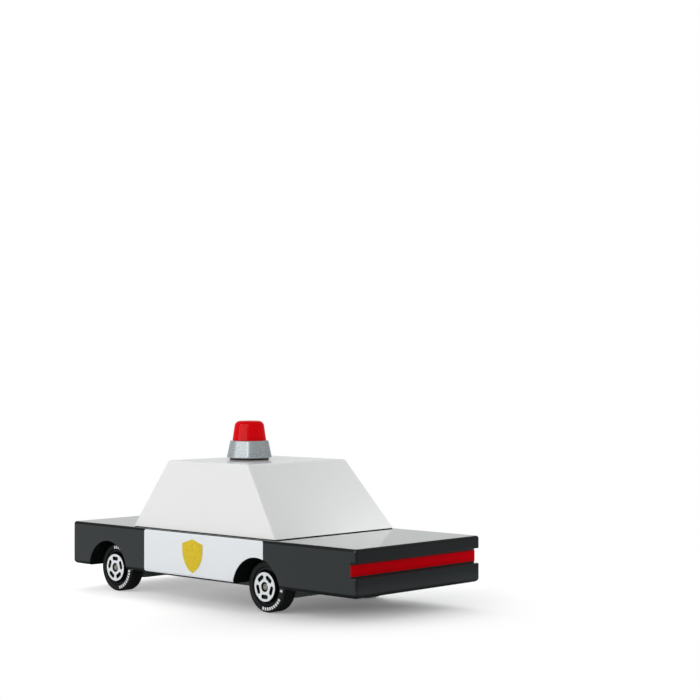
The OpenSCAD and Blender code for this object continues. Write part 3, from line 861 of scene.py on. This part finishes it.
def lower_body(sizes):
    """The black block: side outlines lofted across the car, with rounded flanks.

    The faces inside the wheel arches take the second finish.
    """
    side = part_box("lower_body")[1].y
    depths = {
        radius * (1 - math.sin(math.pi / 2 * k / FLANK_STEPS))
        for radius in (sizes.edge_round, sizes.bottom_round, sizes.rim_round)
        for k in range(FLANK_STEPS + 1)
    }
    flank = [(side - depth, side_outline(sizes, depth)) for depth in sorted(depths)]
    inside = max(depths)
    flank.append((sizes.pocket_wall, side_outline(sizes, inside)))
    flank.append((sizes.pocket_wall, side_outline(sizes, inside, arches_open=False)))
    rings = [[(p.x, y, p.y) for p in outline] for y, outline in flank]
    rings += [[(x, -y, z) for x, y, z in ring] for ring in reversed(rings)]
    block = solid("lower_body_block", loft(rings))
    openings = arches(sizes)
    for face in block.data.polygons:
        x, y, z = face.center
        in_arch = any(math.hypot(x - cx, z - cz) < r + HOVER for cx, cz, r in openings)
        face.material_index = 1 if in_arch and abs(y) < side - sizes.rim_round else 0
    return block


def round_box(node):
    """The place on the ground under a round upright node, its radius, its bottom and its top."""
    low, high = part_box(node)
    middle = (low + high) / 2
    return Matrix.Translation((middle.x, middle.y, 0)), (high.x - low.x) / 2, low.z, high.z


def cabin(sizes):
    """The white block: sloping sides, soft edges, a pocket for the steel disc, and a joint.

    The joint is a step in under the cabin's edge. Its faces take the second finish, black, as
    painted shade.
    """
    low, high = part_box("cabin")
    joint_top = low.z + sizes.joint_height
    foot = Vector((sizes.cabin_front, sizes.cabin_rear, sizes.cabin_side))
    roof = Vector((sizes.roof_front, sizes.roof_rear, sizes.roof_side))
    brim = foot.lerp(roof, sizes.joint_height / (high.z - low.z))
    inner = foot - sizes.joint_depth * Vector((1, -1, 1))
    levels = ((low.z, inner), (joint_top, inner), (joint_top, brim), (high.z, roof))
    rings = [
        [(front, side, z), (rear, side, z), (rear, -side, z), (front, -side, z)]
        for z, (front, rear, side) in levels
    ]
    bm = loft(rings)
    bmesh.ops.recalc_face_normals(bm, faces=bm.faces)
    upper = [edge for edge in bm.edges if max(vert.co.z for vert in edge.verts) > low.z + MM]
    ease(bm, upper, sizes.cabin_round, segments=6)
    block = solid("cabin_block", bm)
    place, radius, bottom, top = round_box("roof_disc")
    carve(block, post("cabin_pocket", radius + HOVER, bottom - HOVER, top + MM, place))
    # The joint's faces take the black finish: painted shade under the cabin's edge
    for face in block.data.polygons:
        highest = max(block.data.vertices[i].co.z for i in face.vertices)
        face.material_index = 1 if highest < joint_top + HOVER else 0
    return block


def screw_places():
    """Each base screw's place along the car, the level of its head and its head's radius."""
    low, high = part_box("base_screws")
    radius = high.y
    return [(x, low.z, radius) for x in (high.x - radius, low.x + radius)]


def base_plate(sizes):
    """The H-shaped plate under the car, with soft lower edges and counterbored holes."""
    low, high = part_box("base_plate")
    rings = []
    bends = [math.radians(90 * k / PLATE_STEPS) for k in range(PLATE_STEPS + 1)]
    for depth in [PLATE_EDGE * (1 - math.cos(a)) for a in bends] + [high.z - low.z]:
        inset = drawn_in(PLATE_EDGE, depth)
        corner, inner = sizes.plate_round - inset, sizes.plate_round / 2 + inset
        front, rear = high.x - inset, low.x + inset
        behind = high.x - sizes.carrier_length + inset
        ahead = low.x + sizes.carrier_length - inset
        side, waist = high.y - inset, sizes.spine_width / 2 - inset
        left = [
            (front, side, corner),
            (behind, side, corner),
            (behind, waist, inner),
            (ahead, waist, inner),
            (ahead, side, corner),
            (rear, side, corner),
        ]
        outline = soften(left + [(x, -y, radius) for x, y, radius in reversed(left)])
        rings.append([(p.x, p.y, low.z + depth) for p in outline])
    plate = solid("base_plate_moulding", loft(rings))
    for x, level, radius in screw_places():
        span = low.z - MM, level + SCREW_HEAD
        place = Matrix.Translation((x, 0, 0))
        carve(plate, post("base_plate_bore", radius + BORE_GAP, *span, place, BORE_STEPS))
    return plate


def beacon_base(sizes):
    """The turned silver base, hollow under for its magnet and on top for the dome's spigot."""
    place, _, bottom, top = round_box("beacon_base")
    _, magnet_radius, _, magnet_top = round_box("beacon_magnet")
    pocket, ceiling = magnet_radius + HOVER, magnet_top + HOVER
    socket, ledge = sizes.spigot_radius + HOVER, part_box("beacon_dome")[0].z - HOVER
    profile = soften(
        [
            (0, ledge, 0),
            (socket, ledge, 0),
            (socket, top, 0),
            (sizes.neck_radius, top, sizes.edge_round),
            (sizes.foot_radius, bottom, sizes.edge_round),
            (pocket, bottom, sizes.edge_round / 2),
            (pocket, ceiling, 0),
            (0, ceiling, 0),
        ]
    )
    return lathe("beacon_base_turning", profile, place)


def beacon_dome(sizes):
    """The turned red dome with its spigot."""
    place, _, bottom, top = round_box("beacon_dome")
    foot, foot_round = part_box("beacon_base")[1].z, 0.15 * MM
    profile = soften(
        [
            (0, bottom, 0),
            (sizes.spigot_radius, bottom, 0),
            (sizes.spigot_radius, foot, 0),
            (sizes.dome_radius, foot, foot_round),
            (sizes.crown_radius, top - sizes.crown_rise, sizes.crown_round),
            (0, top, 0),
        ],
        steps=8,
    )
    return lathe("beacon_dome_turning", profile, place)


def disc(name, node, chamfer):
    """A flat round disc in a node's place, with chamfered edges."""
    place, radius, bottom, top = round_box(node)
    profile = [
        (0, bottom),
        (radius - chamfer, bottom),
        (radius, bottom + chamfer),
        (radius, top - chamfer),
        (radius - chamfer, top),
        (0, top),
    ]
    return lathe(name, profile, place)


def stand(end):
    """Turns what is made round Z to the left end of an axle, and mirrored to the right end."""
    left = Matrix.Translation(axle_middle(end)) @ Matrix.Rotation(-math.pi / 2, 4, "X")
    return left, Matrix.Scale(-1, 4, (0, 1, 0)) @ left


def wheel_cores(end, sizes):
    """Both black wheels of an axle: a rim ring, a deep well and the hub that holds the cap."""
    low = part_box(f"{end}_left_wheel")[0]
    cap_low, cap_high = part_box(f"{end}_left_hub_cap")
    axle_low, axle_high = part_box(f"{end}_axle")
    bore = (axle_high.z - axle_low.z) / 2 + HOVER
    boss, back = 2.0 * MM, low.y + 0.7 * MM
    seat = sizes.cap_radius + 0.03 * MM
    edge, brink, lip, nick = 0.1 * MM, 0.08 * MM, 0.04 * MM, 0.02 * MM
    profile = soften(
        [
            (bore, low.y, 0),
            (boss, low.y, edge),
            (boss, back, 0),
            (sizes.rim_radius, back, edge),
            (sizes.rim_radius, sizes.rim_face, edge),
            (sizes.rim_inner, sizes.rim_face, brink),
            (sizes.rim_inner, sizes.well_floor, edge),
            (sizes.hub_radius, sizes.well_floor, edge),
            (sizes.hub_radius, cap_high.y, lip),
            (seat, cap_high.y, nick),
            (seat, cap_low.y, 0),
            (bore, cap_low.y, 0),
        ],
        steps=4,
    )
    return lathe(f"{end}_wheel_cores", profile, *stand(end))


def axle_rod(end):
    """A drawn rod with a chamfer and a centre mark at each end."""
    low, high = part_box(f"{end}_axle")
    radius, tip = (high.z - low.z) / 2, high.y
    mark_radius, mark_depth, chamfer = 0.25 * MM, 0.2 * MM, 0.15 * MM
    profile = [
        (0, tip - mark_depth),
        (mark_radius, tip),
        (radius - chamfer, tip),
        (radius, tip - chamfer),
    ]
    profile += [(r, -h) for r, h in reversed(profile)]
    return lathe(f"{end}_axle_rod", profile, stand(end)[0], steps=ROD_STEPS)


# Operators


def seen_directly(tree, path):
    """One for what the camera sees, also through a clear piece, and otherwise none."""
    return maths(tree, "MAXIMUM", path["Is Camera Ray"], path["Is Transmission Ray"])


class CAR_OT_stage(bpy.types.Operator):
    """Set the camera, the white floor, the world and the studio lamps"""

    bl_idname = "toycar.stage"
    bl_label = "Stage"

    def execute(self, context):
        scene = context.scene
        scene.view_settings.view_transform = "Standard"
        lens = bpy.data.cameras.new("photo_camera")
        lens.lens, lens.sensor_width, lens.clip_start = LENS_MM, SENSOR_MM, NEAREST
        camera = new_object("photo_camera", lens)
        camera.location = CAMERA_PLACE
        camera.rotation_euler = [math.radians(a) for a in CAMERA_TURN]
        scene.camera = camera

        mesh = bpy.data.meshes.new("white_floor")
        ends = ((-1, -1), (1, -1), (1, 1), (-1, 1))
        corners = [(FLOOR_REACH * x, FLOOR_REACH * y, 0) for x, y in ends]
        mesh.from_pydata(corners, [], [(0, 1, 2, 3)])
        floor = new_object("white_floor", mesh)
        mesh.materials.append(self.floor_finish())

        scene.world = bpy.data.worlds.new("white_studio")
        scene.world.use_nodes = True
        self.light_world(scene.world.node_tree)
        for name, bearing, height, away, size, power, tint, lights, mirrored in LAMPS:
            lamp = bpy.data.lights.new(name, "AREA")
            lamp.shape = "RECTANGLE"
            lamp.size, lamp.size_y = size
            lamp.energy, lamp.color = power, tint
            heading, rise = math.radians(bearing), math.radians(height)
            flat = away * math.cos(rise)
            spot = (flat * math.cos(heading), flat * math.sin(heading), away * math.sin(rise))
            made = new_object(name, lamp)
            made.location = spot
            made.rotation_euler = Vector(spot).to_track_quat("Z", "Y").to_euler()
            made.visible_camera = False
            made.visible_diffuse = lights
            made.visible_glossy = mirrored
        return {"FINISHED"}

    def floor_finish(self):
        # White paper: it takes the shadow near the car, lifted by painted light, and fades to
        # plain white round it.
        # The car mirrors it as plain white too, with painted shade: dimmer behind the car and in
        # its shadow
        finish = bpy.data.materials.new("white_paper_sweep")
        finish.use_nodes = True
        tree = finish.node_tree
        tree.nodes.clear()
        path = add(tree, "ShaderNodeLightPath").outputs
        place = add(tree, "ShaderNodeTexCoord").outputs["Object"]
        along = shaded(tree, "SeparateXYZ", {0: place})
        seen = seen_directly(tree, path)
        # What the camera sees: painted light over the shadow that grows forwards, and white
        # further off
        painted_lift = ramp(tree, along, span=(-0.03, 0.02), levels=(0.085, 0.4))
        away = vectors(tree, "DISTANCE", place, FADE_MIDDLE)
        far = ramp(tree, away, span=(0.045, 0.095), kind="SMOOTHSTEP")
        # What the car mirrors: painted shade on the floor, dimmer towards the rear and under the
        # car
        dim = ramp(tree, along, span=(-0.09, -0.05), levels=(0.2, 0.46))
        past = vectors(tree, "SUBTRACT", vectors(tree, "ABSOLUTE", place), CAR_HALF)
        outside = vectors(tree, "LENGTH", vectors(tree, "MAXIMUM", past, (0, 0, 0)))
        shadow = ramp(tree, outside, span=(0, SHADOW_REACH), levels=(0.1, 1))
        glow, white, mirrored = (
            shaded(tree, "Emission", {"Color": tint + (1.0,), "Strength": strength})
            for tint, strength in (
                (WHITE, maths(tree, "MULTIPLY", seen, painted_lift)),
                (WHITE, 1.0),
                (COOL_FLOOR, maths(tree, "MULTIPLY", dim, shadow)),
            )
        )
        paper = shaded(tree, "BsdfDiffuse", {"Color": linear("#E8E8E8") + (1.0,)})
        near = shaded(tree, "AddShader", {0: paper, 1: glow})
        reach = maths(tree, "MULTIPLY", far, seen)
        round_car = shaded(tree, "MixShader", {0: reach, 1: near, 2: white})
        either = {0: path["Is Glossy Ray"], 1: round_car, 2: mirrored}
        whole = shaded(tree, "MixShader", either)
        add(tree, "ShaderNodeOutputMaterial", {"Surface": whole})
        return finish

    def light_world(self, tree):
        # White for the camera; round the car a white backdrop behind it in a dimmer room
        tree.nodes.clear()
        path = add(tree, "ShaderNodeLightPath").outputs
        ray = add(tree, "ShaderNodeTexCoord").outputs["Generated"]
        facing = vectors(tree, "DOT_PRODUCT", ray, TO_BACKDROP)
        # The backdrop's edge is soft, and it is narrower and dimmer in reflections
        lit, mirrored = (
            ramp(tree, facing, (edge, edge + SOFT_EDGE), (room, backdrop), "SMOOTHSTEP")
            for edge, room, backdrop in ((0.45, 0.4, 1.0), (0.85, 0.16, 0.67))
        )
        room = blend(tree, path["Is Glossy Ray"], lit, mirrored)
        strength = blend(tree, seen_directly(tree, path), room, 1.0)
        tints = [tint + (1.0,) for tint in (WHITE, COOL_ROOM)]
        tint = blend_colours(tree, path["Is Glossy Ray"], *tints)
        plain = shaded(tree, "Background", {"Color": tint, "Strength": strength})
        add(tree, "ShaderNodeOutputWorld", {"Surface": plain})


class CAR_OT_blocks(bpy.types.Operator):
    """Build the black lower block and the white cabin, and finish the beech dowels between them"""

    bl_idname = "toycar.blocks"
    bl_label = "Wooden blocks"

    def execute(self, context):
        sizes = context.scene.toy_car.body
        black, dull_black_and_joint_shade = finishes("black_lacquer", "arch_black")
        white, beech = finishes("white_lacquer", "beech")
        hand_over(lower_body(sizes), "car", ["lower_body"], "black_lacquer", black, dull_black_and_joint_shade)
        # The cabin's joint faces take the black as painted shade
        hand_over(cabin(sizes), "car", ["cabin"], "white_lacquer", white, dull_black_and_joint_shade)
        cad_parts["cabin_dowels"].material_slots[0].material = beech
        return {"FINISHED"}


class CAR_OT_trim(bpy.types.Operator):
    """Build the red tail strip and finish the door panels and the shields"""

    bl_idname = "toycar.trim"
    bl_label = "Films and tail strip"

    def execute(self, context):
        strip = bar("tail_light_bar", *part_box("tail_light_strip"), STRIP_EDGE)
        red, film, gold = finishes("red_strip", "white_film", "gold_film")
        hand_over(strip, "car", ["tail_light_strip"], "red_strip", red)
        for side in ("left", "right"):
            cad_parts[f"{side}_door_panel"].material_slots[0].material = film
            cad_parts[f"{side}_shield"].material_slots[0].material = gold
        return {"FINISHED"}


class CAR_OT_beacon(bpy.types.Operator):
    """Turn the beacon's base and dome, its magnet and the steel disc in the roof"""

    bl_idname = "toycar.beacon"
    bl_label = "Beacon"

    def execute(self, context):
        sizes = context.scene.toy_car.beacon
        silver, red, ferrite, steel = finishes("silver_paint", "red_paint", "ferrite", "steel")
        hand_over(beacon_base(sizes), "beacon", ["beacon_base"], "silver_paint", silver)
        hand_over(beacon_dome(sizes), "beacon", ["beacon_dome"], "red_paint", red)
        magnet = disc("beacon_magnet_disc", "beacon_magnet", MAGNET_CHAMFER)
        hand_over(magnet, "magnet", ["beacon_magnet"], "magnet", ferrite)
        plate = disc("roof_steel_disc", "roof_disc", STEEL_CHAMFER)
        hand_over(plate, "car", ["roof_disc"], "steel", steel)
        return {"FINISHED"}


class CAR_OT_underside(bpy.types.Operator):
    """Build the base plate and the screws that hold it"""

    bl_idname = "toycar.underside"
    bl_label = "Base plate and screws"

    def execute(self, context):
        grey, steel = finishes("grey_plastic", "steel")
        plate = base_plate(context.scene.toy_car.body)
        hand_over(plate, "car", ["base_plate"], "base_plastic", grey)
        (last, level, radius), (first, _, _) = screw_places()
        # The head's cone stands on its low face, so the row is at that level
        values = {
            "Head radius": radius,
            "Head height": SCREW_HEAD,
            "Shank radius": SCREW_SHANK,
            "Shank length": SCREW_LENGTH,
            "Slot width": SCREW_SLOT,
            "Slot depth": SCREW_SLOT,
            "First": (first, 0, level),
            "Last": (last, 0, level),
            "Finish": steel,
        }
        screws = grow("base_screw_pair", screw_plan(), values)
        hand_over(screws, "car", ["base_screws"], "steel", steel)
        return {"FINISHED"}


class CAR_OT_wheels(bpy.types.Operator):
    """Sweep the tyres with their dashes, turn the wheels and axles, and cut the hub caps"""

    bl_idname = "toycar.wheels"
    bl_label = "Wheels"

    def execute(self, context):
        sizes = context.scene.toy_car.wheels
        black, white, tread = finishes("black_plastic", "white_plastic", "rubber")
        ink, steel = finishes("white_ink", "steel")
        tyres, dashes, caps = tyre_plan(), dash_plan(), cap_plan()
        # The plans' inputs have the names that these sizes have in the panel
        shown = sizes.bl_rna.properties
        named = {shown[key].name: getattr(sizes, key) for key in sizes.__annotations__}
        for end, turned, start, arc_step in (
            ("front", sizes.front_turn, sizes.front_dashes, FRONT_ARC_STEP),
            ("rear", sizes.rear_turn, sizes.rear_dashes, REAR_ARC_STEP),
        ):
            body = f"{end}_wheels"
            tyres_on, caps_on, cores_on = (
                [f"{end}_{side}_{part}" for side in ("left", "right")]
                for part in ("tyre", "hub_cap", "wheel")
            )
            low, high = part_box(tyres_on[0])
            cap_low, cap_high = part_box(caps_on[0])
            section = {
                "Tyre radius": (high.z - low.z) / 2,
                "Width": high.y - low.y,
                "Middle": (high.y + low.y) / 2,
            }
            print_on = {
                "Thickness": DASH_THICKNESS,
                "Face": high.y - HOVER,
                "Start": start,
                "Step": DASH_STEP,
                "Arc step": arc_step,
                "Dashes": DASHES,
                "Arcs": DASH_ARCS,
            }
            # The white face is a thin skin on a black slotted disc, so the slots look deep
            face = cap_high.y - sizes.cap_skin
            skin = {"Turn": turned, "Thickness": cap_high.y - face, "Seat": face}
            core = {"Turn": turned, "Thickness": face - cap_low.y, "Seat": cap_low.y}
            for name, plan, nodes, slot, finish, values in (
                ("tyre_pair", tyres, tyres_on, "tyre", tread, section),
                ("tyre_dashes", dashes, [], "white_film", ink, print_on),
                ("hub_caps", caps, caps_on, "cap_plastic", white, skin),
                ("hub_discs", caps, [], "wheel_plastic", black, core),
            ):
                values = {**named, **values, "Axle": tuple(axle_middle(end)), "Finish": finish}
                hand_over(grow(f"{end}_{name}", plan, values), body, nodes, slot, finish)
            hand_over(wheel_cores(end, sizes), body, cores_on, "wheel_plastic", black)
            hand_over(axle_rod(end), body, [f"{end}_axle"], "steel", steel)
        return {"FINISHED"}


class CAR_PT_panel(bpy.types.Panel):
    """Lists what builds the car and the sizes and colours it is built from"""

    bl_idname = "CAR_PT_panel"
    bl_label = "Toy Police Car"
    bl_space_type = "VIEW_3D"
    bl_region_type = "UI"
    bl_category = "Toy Car"

    def draw(self, context):
        car = context.scene.toy_car
        for operator in OPERATORS:
            self.layout.operator(operator.bl_idname)
        for group in (car.body, car.beacon, car.wheels, car.colours):
            box = self.layout.box()
            for name in group.__annotations__:
                box.prop(group, name)


OPERATORS = (
    CAR_OT_stage,
    CAR_OT_blocks,
    CAR_OT_trim,
    CAR_OT_beacon,
    CAR_OT_underside,
    CAR_OT_wheels,
)
GROUPS = (CarBodySizes, CarBeaconSizes, CarWheelSizes, CarColours, CarSettings)
CLASSES = (*GROUPS, *OPERATORS, CAR_PT_panel)


def register():
    for kind in CLASSES:
        bpy.utils.register_class(kind)
    bpy.types.Scene.toy_car = PointerProperty(type=CarSettings)


def unregister():
    del bpy.types.Scene.toy_car
    for kind in reversed(CLASSES):
        bpy.utils.unregister_class(kind)


def main():
    register()
    bpy.ops.toycar.stage()
    bpy.ops.toycar.blocks()
    bpy.ops.toycar.trim()
    bpy.ops.toycar.beacon()
    bpy.ops.toycar.underside()
    bpy.ops.toycar.wheels()


if __name__ == "__main__":
    main()
